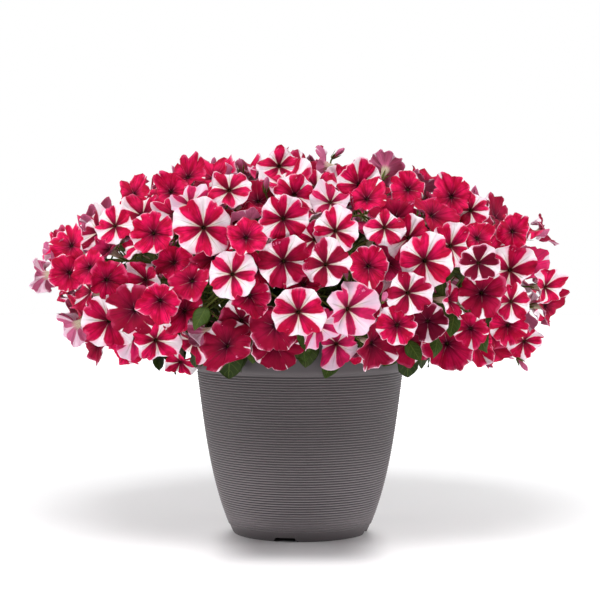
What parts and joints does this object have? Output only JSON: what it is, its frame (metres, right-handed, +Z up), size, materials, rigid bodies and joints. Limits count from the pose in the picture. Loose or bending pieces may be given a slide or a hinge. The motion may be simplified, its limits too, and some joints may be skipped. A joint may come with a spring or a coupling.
{
  "type": "potted plant",
  "caption": "Spreading petunia in a round ribbed plastic pot: a wide low mound of starred crimson and white funnel blooms that hangs over the rim.",
  "frame": {"origin": "middle of the whole plant's outline on the ground, which is the pot's axis to within a few millimetres", "axes": "+Z up along the pot's axis, -Y towards the side with the best bloom places, X across the widest spread"},
  "size_m": [0.6423, 0.5957, 0.4762],
  "materials": {
    "pot": "matte warm grey",
    "soil": "moist potting mix",
    "petals": "soft crimson and white petals",
    "foliage": "soft hairy dark green leaves"
  },
  "bodies": {
    "root": {"pot": "pot", "soil": "soil", "shoot_01": "petals", "shoot_02": "petals", "shoot_03": "petals", "shoot_04": "petals", "shoot_05": "petals", "shoot_06": "petals", "shoot_07": "petals", "shoot_08": "petals", "shoot_09": "petals", "shoot_10": "petals", "shoot_11": "petals", "shoot_12": "petals", "shoot_13": "petals", "shoot_14": "petals", "shoot_15": "petals", "shoot_16": "petals", "shoot_17": "petals", "shoot_18": "petals", "shoot_19": "petals", "shoot_20": "petals", "shoot_21": "petals", "shoot_22": "petals", "shoot_23": "petals", "shoot_24": "petals", "shoot_25": "petals", "shoot_26": "petals", "shoot_27": "petals", "shoot_28": "petals", "shoot_29": "petals", "shoot_30": "petals", "shoot_31": "petals", "shoot_32": "petals", "shoot_33": "petals", "shoot_34": "petals"}
  },
  "joints": []
}
